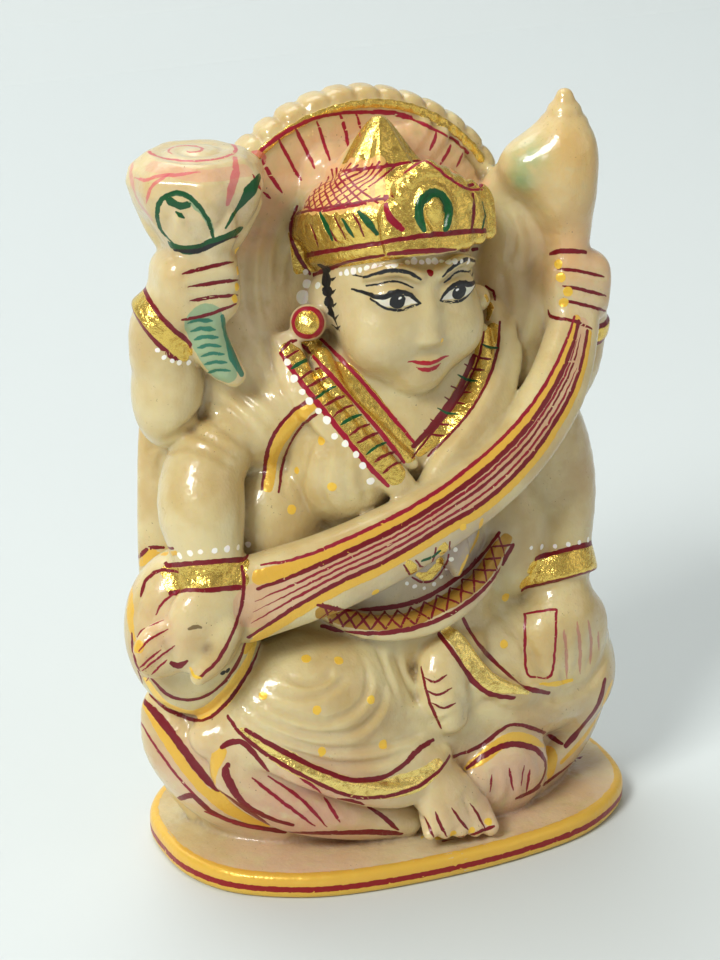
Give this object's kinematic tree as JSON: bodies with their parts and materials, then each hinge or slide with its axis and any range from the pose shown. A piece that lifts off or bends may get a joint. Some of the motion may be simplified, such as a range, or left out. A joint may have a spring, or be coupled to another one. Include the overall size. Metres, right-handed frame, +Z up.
{
  "type": "saraswati figure",
  "caption": "Seated many-armed goddess with veena, rose, book, crown and halo on a lotus and oval base, carved from one block of painted stone.",
  "frame": {"origin": "middle of the oval base's flat underside", "axes": "+Z up, the figure faces -Y, its right hands are on the -X side"},
  "size_m": [0.077, 0.045, 0.1047],
  "materials": {
    "painted_stone": "waxed ivory-white alabaster, painted in gold leaf, magenta, green, black and white"
  },
  "bodies": {
    "root": {"saraswati_figure": "painted_stone"}
  },
  "joints": []
}
